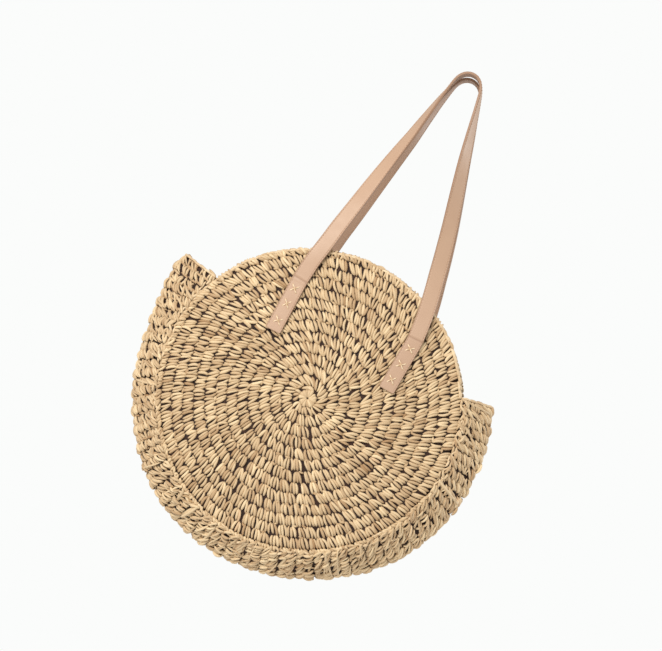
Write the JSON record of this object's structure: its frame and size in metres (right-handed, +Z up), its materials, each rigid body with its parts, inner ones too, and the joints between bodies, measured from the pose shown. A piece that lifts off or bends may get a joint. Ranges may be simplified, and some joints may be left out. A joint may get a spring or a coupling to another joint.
{
  "type": "beach bag",
  "caption": "Round crocheted straw bag with an outward-folded gusset, open top and leather shoulder straps, shown hanging from a hook.",
  "frame": {"origin": "point where both straps hang on a hook, at the underside of the straps over the hook, on the bag's middle plane", "axes": "+Z up, the front faces -Y, +X is to the right of a viewer in front; the disc centres are 0.44 m below the origin"},
  "size_m": [0.4364, 0.0884, 0.6611],
  "materials": {
    "straw_crochet": "crocheted paper straw, matt",
    "straw_edging": "worked straw edging, matt",
    "lining": "plain woven cotton",
    "pocket_cotton": "plain woven cotton",
    "snap_leather": "smooth vegetable-tanned leather",
    "snap_metal": "polished antique brass",
    "snap_washer_metal": "plain pressed steel",
    "strap_leather": "smooth natural tan leather",
    "strap_backing_leather": "flesh side leather, darker tan",
    "stitch_thread": "waxed straw-coloured thread"
  },
  "bodies": {
    "bag": {"front_panel": "straw_crochet", "back_panel": "straw_crochet", "gusset": "straw_crochet", "front_seam": "straw_edging", "back_seam": "straw_edging", "front_rim_edging": "straw_edging", "back_rim_edging": "straw_edging", "left_ear_edging": "straw_edging", "right_ear_edging": "straw_edging", "front_lining": "lining", "back_lining": "lining", "gusset_lining": "lining", "slip_pocket": "pocket_cotton", "pocket_binding": "pocket_cotton", "front_snap_patch": "snap_leather", "back_snap_patch": "snap_leather", "front_snap_washer": "snap_washer_metal", "back_snap_washer": "snap_washer_metal", "snap_socket": "snap_metal", "snap_stud": "snap_metal", "front_left_tab_face": "strap_leather", "front_left_tab_backing": "strap_backing_leather", "front_left_cross_stitches": "stitch_thread", "front_right_tab_face": "strap_leather", "front_right_tab_backing": "strap_backing_leather", "front_right_cross_stitches": "stitch_thread", "back_left_tab_face": "strap_leather", "back_left_tab_backing": "strap_backing_leather", "back_left_cross_stitches": "stitch_thread", "back_right_tab_face": "strap_leather", "back_right_tab_backing": "strap_backing_leather", "back_right_cross_stitches": "stitch_thread"},
    "front_handle": {"front_strap_face": "strap_leather", "front_strap_backing": "strap_backing_leather"},
    "back_handle": {"back_strap_face": "strap_leather", "back_strap_backing": "strap_backing_leather"}
  },
  "joints": [
    {"name": "front_handle_fold", "type": "hinge", "parent": "bag", "child": "front_handle", "pos_m": [0, -0.03947, -0.318], "axis": [1, 0, 0], "range_deg": [0, 165]},
    {"name": "back_handle_fold", "type": "hinge", "parent": "bag", "child": "back_handle", "pos_m": [0, 0.03947, -0.318], "axis": [1, 0, 0], "range_deg": [-165, 0]}
  ]
}
